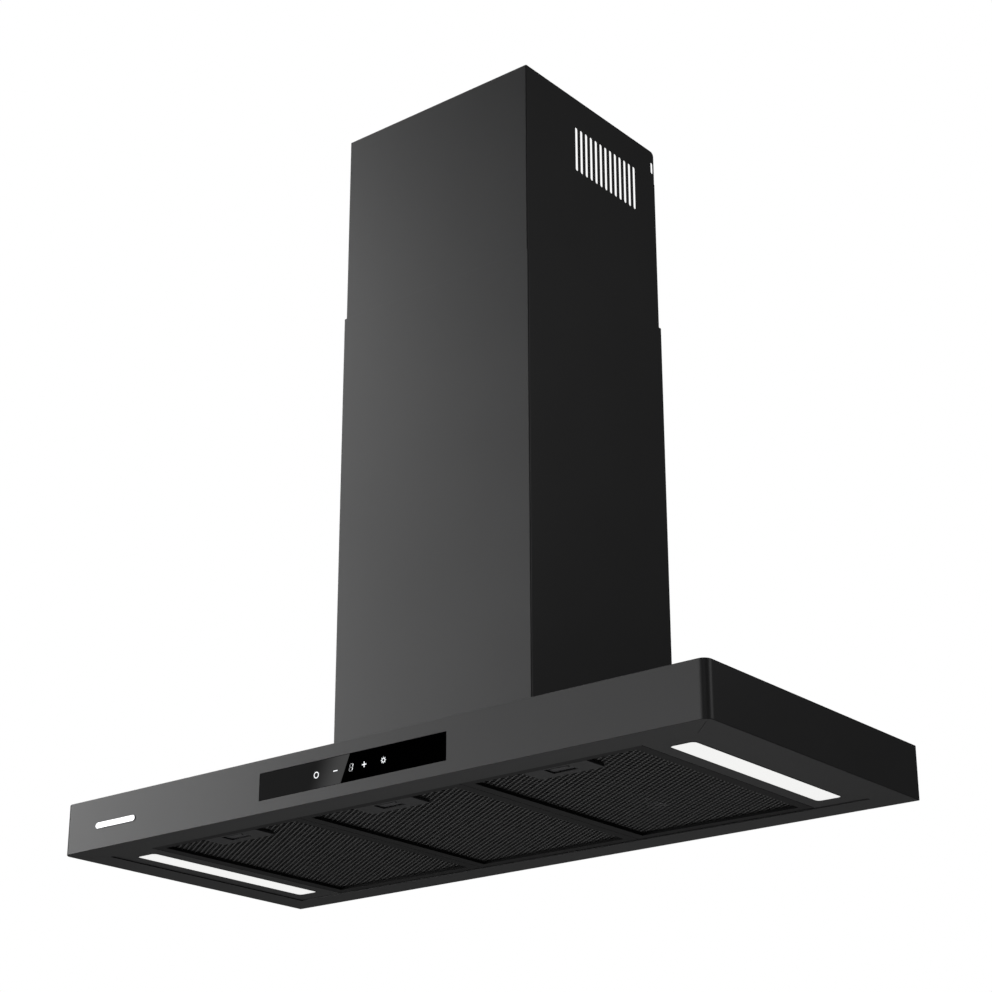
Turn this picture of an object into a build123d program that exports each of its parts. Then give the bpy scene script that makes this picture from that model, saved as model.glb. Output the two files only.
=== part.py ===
"""A wall-mounted chimney range hood with a flat canopy, as separate pieces.

Millimetres. The origin is on the wall, at the centre of the canopy's lower rear edge.
+X is to the right seen from the front, -Y comes out of the wall and +Z is up.
"""

from build123d import *
import os
from math import cos, radians, sin

os.makedirs("parts", exist_ok=True)

# ---- driving dimensions -------------------------------------------------
canopy_w, canopy_d, canopy_h = 900.0, 398.0, 60.0
sheet = 1.0  # canopy steel
corner_r = 9.5  # front vertical bends of the canopy
fold_r = 0.8  # sharp folds
rim = 38.0  # flange round the opening under the canopy
rear_rim = 36.5
air_gap = 0.2  # between pieces that lie on each other
cut = 1.0  # how far a cut runs past the sheet that it goes through

cover_sheet = 0.8
lower_cover_w, lower_cover_front, lower_cover_rear = 288.0, -271.0, -3.0
lower_cover_top = 648.0
upper_cover_w, upper_cover_front, upper_cover_rear = 284.0, -269.6, -4.4
upper_cover_z0, upper_cover_top = 398.0, 898.0
cover_flange = 14.0

vent_count, vent_pitch, vent_w = 13, 10.0, 5.0
vent_z0, vent_z1, vent_y0 = 797.5, 857.8, -170.5
fixing_slot_y, fixing_slot_z0, fixing_slot_z1, fixing_slot_w = -10.5, 866.0, 882.0, 4.6

filter_w, filter_l, filter_h = 229.0, 321.0, 7.0
filter_pitch, filter_y0, filter_z0 = 229.8, -358.5, 1.3
filter_border, filter_sheet = 12.0, 0.8
mesh_t = 3.0
hinge_y, hinge_z = -37.0, 1.9  # line about which a filter drops

latch_w, latch_l, latch_h, latch_wall = 81.0, 31.4, 3.0, 1.0
window_w, window_l, window_y = 31.0, 18.0, -334.0
bolt_w, bolt_t, bolt_z, bolt_tip = 14.0, 1.2, 2.9, -359.6

lamp_x, lamp_y, lamp_w, lamp_l, lamp_r = 377.5, -198.5, 31.0, 277.0, 6.0
lamp_panel_in, lamp_panel_out = 345.4, 423.0

glass_w, glass_h, glass_r, glass_z, glass_t = 265.0, 30.3, 0.6, 29.5, 3.0

casing_w, casing_front, casing_rear, casing_top = 216.0, -262.0, -1.8, 330.0
casing_sheet, casing_foot = 1.0, 13.0
plate_w, plate_z0, plate_z1, plate_t = 254.0, 62.0, 340.0, 1.5
wall_hole_x, wall_hole_z, wall_hole_r = 119.0, (110.0, 300.0), 3.5

fan_y, fan_z = -162.0, 190.0  # axis of the fan wheel, along X
wheel_r, wheel_bore_r, wheel_w, blade_count = 80.0, 67.0, 112.0, 36
scroll_w, scroll_wall, inlet_r = 120.0, 2.5, 62.0
throat_y0, throat_y1, throat_top = 8.0, 116.0, 138.5  # measured from the axis
shaft_r, running_gap = 4.0, 0.05
collar_y, collar_r, collar_wall, collar_top = -100.0, 75.0, 2.0, 392.0
flap_z, flap_r, flap_t, flap_offset, flap_pin_r = 352.0, 71.4, 1.2, 4.0, 2.0

opening_x = canopy_w / 2 - rim
opening_y0, opening_y1 = -canopy_d + rim, -rear_rim
SIDES = (("left", -1), ("right", 1))
FILTERS = (("left", -filter_pitch), ("centre", 0.0), ("right", filter_pitch))


def save(piece, name):
    """Name a finished piece and write its file."""
    piece.part.label = name
    export_step(piece.part, f"parts/{name}.step")


def block(x0, x1, y0, y1, z0, z1, mode=Mode.ADD):
    """A box between two corners."""
    with Locations(((x0 + x1) / 2, (y0 + y1) / 2, (z0 + z1) / 2)):
        Box(abs(x1 - x0), abs(y1 - y0), abs(z1 - z0), mode=mode)


def screws(name, heads, head_r, shank_r, length, direction):
    """Pan-head screws at the given points, with their shanks along the direction."""
    with BuildPart() as group:
        for point in heads:
            plane = Plane(origin=point, z_dir=direction)
            with BuildSketch(plane.offset(-0.5 * head_r)):
                Circle(head_r)
            extrude(amount=0.5 * head_r)
            with BuildSketch(plane):
                Circle(shank_r)
            extrude(amount=length)
            top = plane.offset(-0.5 * head_r)
            with BuildSketch(top):
                Rectangle(head_r, 0.25 * head_r)
                Rectangle(0.25 * head_r, head_r)
            extrude(amount=0.25 * head_r, mode=Mode.SUBTRACT)
    save(group, name)


# ---- canopy -------------------------------------------------------------
flange_screws = [(x, y) for x in (-114.5, 114.5) for y in (-235.0, -150.0, -60.0)]
tab_screws = [(x, y) for x in (-136.5, 136.5) for y in (-215.0, -60.0)]
screw_hole_r = 2.1
gland_x, gland_y, gland_hole_r = 119.0, -25.0, 6.2
air_hole_x, air_hole_y0, air_hole_y1 = 98.0, -254.0, -14.0
glass_gap = 0.3  # round the control glass
badge_x, badge_z, badge_w, badge_h, badge_t = -363.0, 27.0, 66.0, 7.0, 0.8
peg_spacing, peg_r, peg_hole_r = 44.0, 1.4, 1.6

with BuildPart() as canopy:
    with BuildSketch() as outline:
        with Locations((0, -canopy_d / 2)):
            Rectangle(canopy_w, canopy_d)
        fillet(outline.vertices().group_by(Axis.Y)[0], corner_r)
    extrude(amount=canopy_h)
    for end in (-1, 0):
        face_edges = canopy.faces().sort_by(Axis.Z)[end].edges()
        fillet(face_edges.sort_by(Axis.Y)[:-1], fold_r)
    with BuildSketch(Plane.XY.offset(sheet)) as inside:
        with Locations((0, -(canopy_d - sheet) / 2)):
            Rectangle(canopy_w - 2 * sheet, canopy_d - sheet)
        fillet(inside.vertices().group_by(Axis.Y)[0], corner_r - sheet)
    extrude(amount=canopy_h - 2 * sheet, mode=Mode.SUBTRACT)
    block(-opening_x, opening_x, opening_y0, opening_y1, -cut, sheet + cut, Mode.SUBTRACT)
    # the back panel stands between the sides
    back_x = canopy_w / 2 - sheet
    block(-back_x, back_x, -sheet - air_gap, cut, -cut, canopy_h + cut, Mode.SUBTRACT)
    # air hole under the blower
    block(-air_hole_x, air_hole_x, air_hole_y0, air_hole_y1, canopy_h - sheet - cut,
          canopy_h + cut, Mode.SUBTRACT)
    with BuildSketch(Plane.XY.offset(canopy_h + cut)):
        with Locations(*flange_screws, *tab_screws):
            Circle(screw_hole_r)
        with Locations((gland_x, gland_y)):
            Circle(gland_hole_r)
    extrude(amount=-sheet - 2 * cut, mode=Mode.SUBTRACT)
    # control window in the front
    window_x, window_h = glass_w / 2 + glass_gap, glass_h / 2 + glass_gap
    block(-window_x, window_x, -canopy_d - cut, -canopy_d + sheet + cut, glass_z - window_h,
          glass_z + window_h, Mode.SUBTRACT)
    # mitre joints of the flange, as fine grooves from the opening towards the corners
    mitre_x, mitre_y = canopy_w / 2 - corner_r / 2, -canopy_d + corner_r / 2
    groove_w, groove_depth, groove_start = 0.5, 0.4, 0.1
    for _, side in SIDES:
        with BuildSketch(Plane.XY.offset(-groove_start)):
            with BuildLine():
                Line((side * (opening_x + 1), opening_y0 - 1), (side * mitre_x, mitre_y))
            trace(line_width=groove_w)
        extrude(amount=groove_start + groove_depth, mode=Mode.SUBTRACT)
    # holes for the blank badge's two pegs
    pegs = [(badge_x + edge * peg_spacing / 2, badge_z) for _, edge in SIDES]
    with BuildSketch(Plane.XZ.offset(canopy_d + cut)):
        with Locations(*pegs):
            Circle(peg_hole_r)
    extrude(amount=-sheet - 2 * cut, mode=Mode.SUBTRACT)
save(canopy, "canopy_shell")

with BuildPart() as back_panel:
    block(-back_x + air_gap, back_x - air_gap, -sheet, 0, 0, canopy_h)
save(back_panel, "canopy_back_panel")

badge_plane = Plane.XZ.offset(canopy_d + air_gap / 2)
peg_l, badge_round = 2.6, 0.3
with BuildPart() as badge:
    with BuildSketch(badge_plane):
        with Locations((badge_x, badge_z)):
            SlotOverall(badge_w, badge_h)
    extrude(amount=badge_t)
    fillet(badge.faces().sort_by(Axis.Y)[0].edges(), badge_round)
    with BuildSketch(badge_plane):
        with Locations(*pegs):
            Circle(peg_r)
    extrude(amount=-peg_l)
save(badge, "blank_badge")

# ---- controls -----------------------------------------------------------
front = -canopy_d
glass_front, glass_chamfer = front + 0.2, 0.25
with BuildPart() as glass:
    with BuildSketch(Plane.XZ.offset(-glass_front)):
        with Locations((0, glass_z)):
            RectangleRounded(glass_w, glass_h, glass_r)
    extrude(amount=-glass_t)
    chamfer(glass.faces().sort_by(Axis.Y)[0].edges(), glass_chamfer)
save(glass, "control_glass")

# touch marks: a ring, a minus, a numeral of seven bars, a plus and a lamp
mark_z, mark_t, stroke = 29.2, 0.12, 1.1
ring_x, minus_x, numeral_x, plus_x, lamp_mark_x = -48.0, -20.4, 2.0, 20.4, 47.3
ring_r, sign_w, lamp_mark_r, ray_reach, ray_l = 3.6, 6.0, 2.5, 3.2, 0.9
bar, bar_w, bar_h, bar_x, bar_z, slant = 0.8, 3.2, 2.8, 2.1, 3.8, 12.0
with BuildPart() as icons:
    with BuildSketch(Plane.XZ.offset(-glass_front)):
        with Locations((ring_x, mark_z)):
            Circle(ring_r)
            Circle(ring_r - 0.9 * stroke, mode=Mode.SUBTRACT)
        with Locations((minus_x, mark_z), (plus_x, mark_z)):
            Rectangle(sign_w, stroke)
        with Locations((plus_x, mark_z)):
            Rectangle(stroke, sign_w)
        with Locations((lamp_mark_x, mark_z)):
            Circle(lamp_mark_r)
            Circle(lamp_mark_r - 0.8 * stroke, mode=Mode.SUBTRACT)
            with PolarLocations(ray_reach, 8):
                Rectangle(ray_l, 0.5 * stroke)
        for up in (-1, 0, 1):
            lean = up * bar_z * sin(radians(slant))
            with Locations((numeral_x + lean, mark_z + up * bar_z)):
                Rectangle(bar_w, bar)
        for up in (-0.5, 0.5):
            lean = up * bar_z * sin(radians(slant))
            for _, side in SIDES:
                with Locations((numeral_x + lean + side * bar_x, mark_z + up * bar_z)):
                    Rectangle(bar, bar_h, rotation=-slant)
    extrude(amount=mark_t)
save(icons, "control_icons")

carrier_y0, carrier_y1 = front + sheet + air_gap, front + 12
carrier_x, carrier_half_h, carrier_wall = 142.0, 21.0, 4.0
carrier_floor = front + 5.4
with BuildPart() as carrier:
    block(-carrier_x, carrier_x, carrier_y0, carrier_y1, glass_z - carrier_half_h,
          glass_z + carrier_half_h)
    block(-carrier_x + carrier_wall, carrier_x - carrier_wall, carrier_floor, carrier_y1,
          glass_z - carrier_half_h + 3, glass_z + carrier_half_h - 3, Mode.SUBTRACT)
    block(-window_x, window_x, front - cut, glass_front + glass_t + air_gap,
          glass_z - window_h, glass_z + window_h, Mode.SUBTRACT)
    # the touch board's springs reach through to the glass
    block(-60, 60, front + cut, carrier_floor + cut, glass_z - 6, glass_z + 6, Mode.SUBTRACT)
    for end in (0, -1):
        fillet(carrier.edges().filter_by(Axis.Y).group_by(Axis.X)[end], 2)
save(carrier, "control_carrier")

control_board_y0, control_board_y1 = front + 6, front + 7.6
spring_half_w, spring_half_h, spring_y0 = 4.0, 5.0, front + 3.6
with BuildPart() as control_board:
    block(-125, 125, control_board_y0, control_board_y1, glass_z - 14, glass_z + 14)
    for x in (ring_x, minus_x, numeral_x, plus_x, lamp_mark_x):
        block(x - spring_half_w, x + spring_half_w, spring_y0, control_board_y0,
              mark_z - spring_half_h, mark_z + spring_half_h)
    # a chip and a plug
    block(80, 98, control_board_y1, control_board_y1 + 2.4, glass_z - 6, glass_z + 6)
    block(-110, -98, control_board_y1, control_board_y1 + 3.8, glass_z - 5, glass_z + 5)
save(control_board, "control_board")

# ---- lamps, left and right ----------------------------------------------
panel_z0, panel_t, panel_fold_z = sheet + air_gap, 0.8, 14.0
lens_gap, lens_lip_w, lens_face_t, lens_lip_t = 0.2, 3.0, 1.0, 1.2
housing_w, housing_l, housing_wall, housing_h = 45.0, 291.0, 0.8, 15.0
lamp_board_w, lamp_board_l, led_count, led_pitch = 24.0, 268.0, 14, 18.0
for name, side in SIDES:
    x = side * lamp_x
    with BuildPart() as lamp_panel:
        block(side * lamp_panel_in, side * lamp_panel_out, opening_y0 - 12, opening_y1 + 12.5,
              panel_z0, panel_z0 + panel_t)
        block(side * lamp_panel_in, side * (lamp_panel_in + panel_t), opening_y0 - 2,
              opening_y1 + 2, panel_z0, panel_fold_z)
        with BuildSketch(Plane.XY.offset(panel_z0)):
            with Locations((x, lamp_y)):
                RectangleRounded(lamp_w, lamp_l, lamp_r)
        extrude(amount=panel_t, mode=Mode.SUBTRACT)
    save(lamp_panel, f"lamp_panel_{name}")

    with BuildPart() as lens:
        with BuildSketch(Plane.XY.offset(panel_z0 + air_gap / 2)):
            with Locations((x, lamp_y)):
                RectangleRounded(lamp_w - 2 * lens_gap, lamp_l - 2 * lens_gap, lamp_r - lens_gap)
        extrude(amount=lens_face_t)
        with BuildSketch(Plane.XY.offset(panel_z0 + panel_t + air_gap / 2)):
            with Locations((x, lamp_y)):
                RectangleRounded(lamp_w + 2 * lens_lip_w, lamp_l + 2 * lens_lip_w,
                                 lamp_r + lens_lip_w)
        extrude(amount=lens_lip_t)
    save(lens, f"lamp_lens_{name}")

    housing_z0 = panel_z0 + panel_t + air_gap / 2
    with BuildPart() as housing:
        with BuildSketch(Plane.XY.offset(housing_z0)):
            with Locations((x, lamp_y)):
                RectangleRounded(housing_w, housing_l, lamp_r)
        extrude(amount=housing_h)
        open_face = housing.faces().sort_by(Axis.Z)[0]
        offset(amount=-housing_wall, openings=open_face)
    save(housing, f"lamp_housing_{name}")

    board_z, board_t = housing_z0 + housing_h - housing_wall - 2.2, 1.6
    with BuildPart() as lamp_board:
        block(x - lamp_board_w / 2, x + lamp_board_w / 2, lamp_y - lamp_board_l / 2,
              lamp_y + lamp_board_l / 2, board_z, board_z + board_t)
        with Locations((x, lamp_y, board_z - 0.35)):
            with GridLocations(0, led_pitch, 1, led_count):
                Box(3.5, 2.8, 0.9)
    save(lamp_board, f"lamp_board_{name}")

# ---- grease filters and their latches -----------------------------------
filter_y1, filter_top = filter_y0 + filter_l, filter_z0 + filter_h
lip_top, mesh_gap = 4.4, 1.1
tongue_x, tongue_half_w, tongue_reach, tongue_t = 80.0, 9.0, 5.0, 0.8
bolt_gap, latch_round, latch_chamfer = 0.6, 1.5, 0.4
rib_x0, rib_x1, rib_l = 16.5, 18.0, 23.0  # guide ribs beside the slider
slider_y0, slider_y1, slider_half_w = -344.0, -325.6, 16.0
pull_half_w, pull_y0, pull_y1, pull_z0 = 11.5, -339.0, -335.0, filter_z0 + 0.5
spring_half_l, spring_w, spring_t = 12.0, 1.2, 0.3
for name, x in FILTERS:
    half = filter_w / 2
    with BuildPart() as frame:
        block(x - half, x + half, filter_y0, filter_y1, filter_z0, filter_top)
        fillet(frame.edges().filter_by(Axis.Z), 1.5)
        block(x - half + filter_border, x + half - filter_border, filter_y0 + filter_border,
              filter_y1 - filter_border, filter_z0 - cut, filter_top + cut, Mode.SUBTRACT)
        # the channel behind the border, which a lip closes up to the mesh
        channel = 2 * filter_sheet
        lip = 2 * (filter_border - filter_sheet)
        with BuildSketch(Plane.XY.offset(filter_z0 + filter_sheet)):
            with Locations((x, (filter_y0 + filter_y1) / 2)):
                Rectangle(filter_w - channel, filter_l - channel)
                Rectangle(filter_w - lip, filter_l - lip, mode=Mode.SUBTRACT)
        extrude(amount=lip_top - filter_z0 - filter_sheet, mode=Mode.SUBTRACT)
        with BuildSketch(Plane.XY.offset(lip_top)):
            with Locations((x, (filter_y0 + filter_y1) / 2)):
                Rectangle(filter_w - channel, filter_l - channel)
        extrude(amount=filter_top - filter_sheet - lip_top, mode=Mode.SUBTRACT)
        # slot for the bolt through the front web and lip
        block(x - bolt_w / 2 - bolt_gap, x + bolt_w / 2 + bolt_gap, filter_y0 - cut,
              filter_y0 + filter_border + cut, bolt_z - 0.4, lip_top + 0.1, Mode.SUBTRACT)
        # tongues that rest on the rear rim
        for middle in (x - tongue_x, x + tongue_x):
            block(middle - tongue_half_w, middle + tongue_half_w, filter_y1 - 0.5,
                  hinge_y + tongue_reach, hinge_z - tongue_t / 2, hinge_z + tongue_t / 2)
    save(frame, f"filter_frame_{name}")

    with BuildPart() as mesh_pack:
        block(x - half + mesh_gap, x + half - mesh_gap, filter_y0 + mesh_gap,
              filter_y1 - mesh_gap, lip_top + 0.1, lip_top + 0.1 + mesh_t)
    save(mesh_pack, f"filter_mesh_{name}")

    latch_y0 = filter_y0 + filter_border + 0.2
    with BuildPart() as latch:
        with BuildSketch(Plane.XY.offset(filter_z0)):
            with Locations((x, latch_y0 + latch_l / 2)):
                RectangleRounded(latch_w, latch_l, latch_round)
        extrude(amount=latch_h)
        chamfer(latch.faces().sort_by(Axis.Z)[0].edges(), latch_chamfer)
        with BuildSketch(Plane.XY.offset(filter_z0 + latch_wall)):
            with Locations((x, latch_y0 + latch_l / 2)):
                Rectangle(latch_w - 2 * latch_wall, latch_l - 2 * latch_wall)
        extrude(amount=latch_h, mode=Mode.SUBTRACT)
        with BuildSketch(Plane.XY.offset(filter_z0)):
            with Locations((x, window_y)):
                RectangleRounded(window_w, window_l, 1.0)
        extrude(amount=latch_wall, mode=Mode.SUBTRACT)
        block(x - bolt_w / 2 - bolt_gap, x + bolt_w / 2 + bolt_gap, latch_y0 - cut,
              latch_y0 + latch_wall + 0.5, bolt_z - 0.4, filter_z0 + latch_h + cut, Mode.SUBTRACT)
        for edge in (-1, 1):
            block(x + edge * rib_x0, x + edge * rib_x1, latch_y0 + latch_wall,
                  latch_y0 + latch_wall + rib_l, filter_z0 + latch_wall - 0.1, bolt_z + bolt_t)
    save(latch, f"latch_plate_{name}")

    with BuildPart() as slider:
        block(x - slider_half_w, x + slider_half_w, slider_y0, slider_y1, bolt_z,
              bolt_z + bolt_t)
        block(x - bolt_w / 2, x + bolt_w / 2, bolt_tip, slider_y0 + 1, bolt_z, bolt_z + bolt_t)
        block(x - pull_half_w, x + pull_half_w, pull_y0, pull_y1, pull_z0, bolt_z + 0.5)
        fillet(slider.edges().filter_by(Axis.X).group_by(Axis.Z)[0], 0.6)
    save(slider, f"latch_slider_{name}")

    spring_back = latch_y0 + latch_l - latch_wall - 0.3
    with BuildPart() as spring:
        with BuildSketch(Plane.XY.offset(bolt_z)):
            with BuildLine():
                ThreePointArc((x - spring_half_l, spring_back - 0.2), (x, slider_y1 + 0.4),
                              (x + spring_half_l, spring_back - 0.2))
            trace(line_width=spring_t)
        extrude(amount=spring_w)
    save(spring, f"latch_spring_{name}")

# ---- blower -------------------------------------------------------------
half_casing = casing_w / 2
throat_mid = fan_y + (throat_y0 + throat_y1) / 2
plate_screws = [(x, z) for x in (-90.0, 90.0) for z in (90.0, 200.0, 315.0)]
casing_z0 = canopy_h + air_gap
wall_z1 = casing_top - casing_sheet - air_gap  # the walls stand under the top sheet
collar_screw_spacing, tapped_r = 146.0, 1.7
with BuildPart() as casing_front_sheet:
    block(-half_casing, half_casing, casing_front, casing_front + casing_sheet, casing_z0,
          wall_z1)
save(casing_front_sheet, "casing_front")

with BuildPart() as casing_rear_sheet:
    block(-half_casing, half_casing, casing_rear - casing_sheet, casing_rear, casing_z0, wall_z1)
    with BuildSketch(Plane.XZ):
        with Locations(*plate_screws):
            Circle(screw_hole_r)
    extrude(amount=-casing_rear + casing_sheet + cut, mode=Mode.SUBTRACT)
save(casing_rear_sheet, "casing_rear")

for name, side in SIDES:
    side_y0 = casing_front + casing_sheet + air_gap
    side_y1 = casing_rear - casing_sheet - air_gap
    with BuildPart() as casing_side:
        block(side * (half_casing - casing_sheet), side * half_casing, side_y0, side_y1,
              casing_z0, wall_z1)
        block(side * (half_casing - casing_sheet), side * (half_casing + casing_foot), side_y0,
              side_y1, casing_z0, casing_z0 + casing_sheet)
        with BuildSketch(Plane.XY.offset(canopy_h)):
            with Locations(*[(x, y) for x, y in flange_screws if x * side > 0]):
                Circle(screw_hole_r)
            if gland_x * side > 0:
                with Locations((gland_x, gland_y)):
                    Circle(9.5)
        extrude(amount=air_gap + casing_sheet + cut, mode=Mode.SUBTRACT)
    save(casing_side, f"casing_side_{name}")

with BuildPart() as casing_top_sheet:
    block(-half_casing, half_casing, casing_front, casing_rear, casing_top - casing_sheet,
          casing_top)
    with BuildSketch(Plane.XY.offset(casing_top + cut)):
        with Locations((0, throat_mid)):
            Rectangle(scroll_w, throat_y1 - throat_y0)
        with Locations((0, collar_y)):
            with GridLocations(collar_screw_spacing, collar_screw_spacing, 2, 2):
                Circle(tapped_r)
    extrude(amount=-casing_sheet - 2 * cut, mode=Mode.SUBTRACT)
save(casing_top_sheet, "casing_top")

with BuildPart() as wall_plate:
    block(-plate_w / 2, plate_w / 2, -plate_t, 0, plate_z0, plate_z1)
    fillet(wall_plate.edges().filter_by(Axis.Y), 6)
    with BuildSketch(Plane.XZ.offset(plate_t + cut)):
        with Locations(*[(x, z) for x in (-wall_hole_x, wall_hole_x) for z in wall_hole_z]):
            Circle(wall_hole_r)
        with Locations(*plate_screws):
            Circle(tapped_r)
    extrude(amount=-plate_t - 2 * cut, mode=Mode.SUBTRACT)
save(wall_plate, "wall_plate")
screws("wall_plate_screws", [(x, casing_rear - casing_sheet, z) for x, z in plate_screws], 3.4,
       1.6, 2.6, (0, 1, 0))
screws("blower_screws", [(x, y, casing_z0 + casing_sheet) for x, y in flange_screws], 3.6, 2.0,
       6.0, (0, 0, -1))

scroll_plane = Plane(origin=(0, fan_y, fan_z), x_dir=(0, 1, 0), z_dir=(1, 0, 0))
spiral_r, step, tongue_top = 92.0, 4.0, 98.0


def scroll_outline(grow):
    """The scroll's inner outline, or the outer one when grown by the wall."""
    with BuildSketch() as outline:
        with BuildLine():
            # three quarter turns, each 8 mm wider than the last
            CenterArc((0, -step), spiral_r + grow, 90, 90)
            CenterArc((2 * step, -step), spiral_r + 2 * step + grow, 180, 90)
            CenterArc((2 * step, step), spiral_r + 4 * step + grow, 270, 90)
            Line((throat_y1 + grow, step), (throat_y1 + grow, throat_top))
            Line((throat_y1 + grow, throat_top), (throat_y0 - grow, throat_top))
            Line((throat_y0 - grow, throat_top), (throat_y0 - grow, tongue_top))
            Line((throat_y0 - grow, tongue_top), (0, spiral_r - step + grow))
        make_face()
    return outline.sketch


half_scroll = scroll_w / 2
joint_gap, mouth_w, mouth_l, mouth_round = 0.05, 4.0, 4.0, 3.0
for name, side in SIDES:
    x0 = joint_gap if side > 0 else -half_scroll - scroll_wall
    x1 = half_scroll + scroll_wall if side > 0 else -joint_gap
    with BuildPart() as scroll:
        with BuildSketch(scroll_plane.offset(x0)):
            add(scroll_outline(scroll_wall))
        extrude(amount=x1 - x0)
        cut0, cut1 = (-cut, half_scroll) if side > 0 else (-half_scroll, cut)
        with BuildSketch(scroll_plane.offset(cut0)):
            add(scroll_outline(0))
        extrude(amount=cut1 - cut0, mode=Mode.SUBTRACT)
        # bell mouth of the air inlet
        wall_x = side * (half_scroll + scroll_wall)
        with BuildSketch(scroll_plane.offset(wall_x)):
            Circle(inlet_r + mouth_w)
        extrude(amount=side * mouth_l)
        with BuildSketch(scroll_plane.offset(side * (half_scroll - 1))):
            Circle(inlet_r)
        extrude(amount=side * 12, mode=Mode.SUBTRACT)
        mouth = scroll.faces().sort_by(Axis.X)[-1 if side > 0 else 0]
        fillet(mouth.edges().sort_by(SortBy.LENGTH)[0], mouth_round)
    save(scroll, f"scroll_{name}")

blade_t, blade_bow, blade_tip, disc_t, end_ring_w, end_ring_t = 1.2, 4.2, 2.2, 2.0, 4.0, 2.0
hub_r, hub_x0, hub_x1 = 13.0, -6.0, 12.0
with BuildSketch() as blade:
    with BuildLine():
        ThreePointArc((wheel_bore_r, 0), (wheel_r - 5, blade_bow), (wheel_r - 0.6, blade_tip))
    trace(line_width=blade_t)
# the middle disc with its hub, and a ring of blades on each side of it
with BuildPart() as wheel:
    with BuildSketch(scroll_plane.offset(-disc_t / 2)):
        Circle(wheel_r)
    extrude(amount=disc_t)
    with BuildSketch(scroll_plane.offset(hub_x0)):
        Circle(hub_r)
    extrude(amount=hub_x1 - hub_x0)
    with BuildSketch(scroll_plane.offset(hub_x0 - cut)):
        Circle(shaft_r)
    extrude(amount=hub_x1 - hub_x0 + 2 * cut, mode=Mode.SUBTRACT)
save(wheel, "fan_wheel")

for name, side in SIDES:
    blades_l = wheel_w / 2 - disc_t / 2 - joint_gap
    outer_end = wheel_w / 2
    with BuildPart() as blades:
        with BuildSketch(scroll_plane.offset(side * outer_end)):
            with PolarLocations(0, blade_count):
                add(blade.sketch)
        extrude(amount=-side * blades_l)
        with BuildSketch(scroll_plane.offset(side * outer_end)):
            Circle(wheel_r)
            Circle(wheel_r - end_ring_w, mode=Mode.SUBTRACT)
        extrude(amount=-side * end_ring_t)
    save(blades, f"fan_blades_{name}")

shaft_x0, shaft_x1, shaft_chamfer = -70.0, 14.0, 0.6
with BuildPart() as shaft:
    with BuildSketch(scroll_plane.offset(shaft_x0)):
        Circle(shaft_r)
    extrude(amount=shaft_x1 - shaft_x0)
    chamfer(shaft.faces().sort_by(Axis.X)[-1].edges(), shaft_chamfer)
save(shaft, "motor_shaft")

motor_x0, motor_x1, motor_r, motor_round = -92.0, -9.0, 42.0, 6.0
cooling_slots, slot_radius, slot_l, slot_w, slot_depth = 8, 28.0, 12.0, 5.0, 6.0
with BuildPart() as motor:
    with BuildSketch(scroll_plane.offset(motor_x0)):
        Circle(motor_r)
    extrude(amount=motor_x1 - motor_x0)
    for end in (0, -1):
        fillet(motor.faces().sort_by(Axis.X)[end].edges(), motor_round)
    with BuildSketch(scroll_plane.offset(shaft_x0 - 2)):
        Circle(shaft_r + running_gap)
    extrude(amount=motor_x1 - shaft_x0 + 2 + cut, mode=Mode.SUBTRACT)
    with BuildSketch(scroll_plane.offset(motor_x0 - cut)):
        with PolarLocations(slot_radius, cooling_slots):
            RectangleRounded(slot_l, slot_w, 0.48 * slot_w)
    extrude(amount=slot_depth + cut, mode=Mode.SUBTRACT)
save(motor, "motor")

# a three-armed spider holds the motor on rubber feet
spider_x, foot_r, foot_h, arm_reach, arm_w = -74.0, 8.0, 4.5, 82.0, 16.0
foot_x = -half_scroll - scroll_wall
arm_x0, arm_x1 = motor_r - 16, arm_reach + 6  # along an arm, from the axis
with BuildPart() as spider:
    with BuildSketch(scroll_plane.offset(spider_x)):
        Circle(motor_r + 6)
        with PolarLocations((arm_x0 + arm_x1) / 2, 3, 90):
            Rectangle(arm_x1 - arm_x0, arm_w)
        with PolarLocations(arm_reach, 3, 90):
            Circle(foot_r)
        Circle(motor_r + 0.1, mode=Mode.SUBTRACT)
    extrude(amount=foot_x - foot_h - spider_x - 0.1)
save(spider, "motor_spider")

with BuildPart() as feet:
    with BuildSketch(scroll_plane.offset(foot_x - foot_h)):
        with PolarLocations(arm_reach, 3, 90):
            Circle(foot_r - 1)
    extrude(amount=foot_h)
save(feet, "motor_feet")

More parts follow.
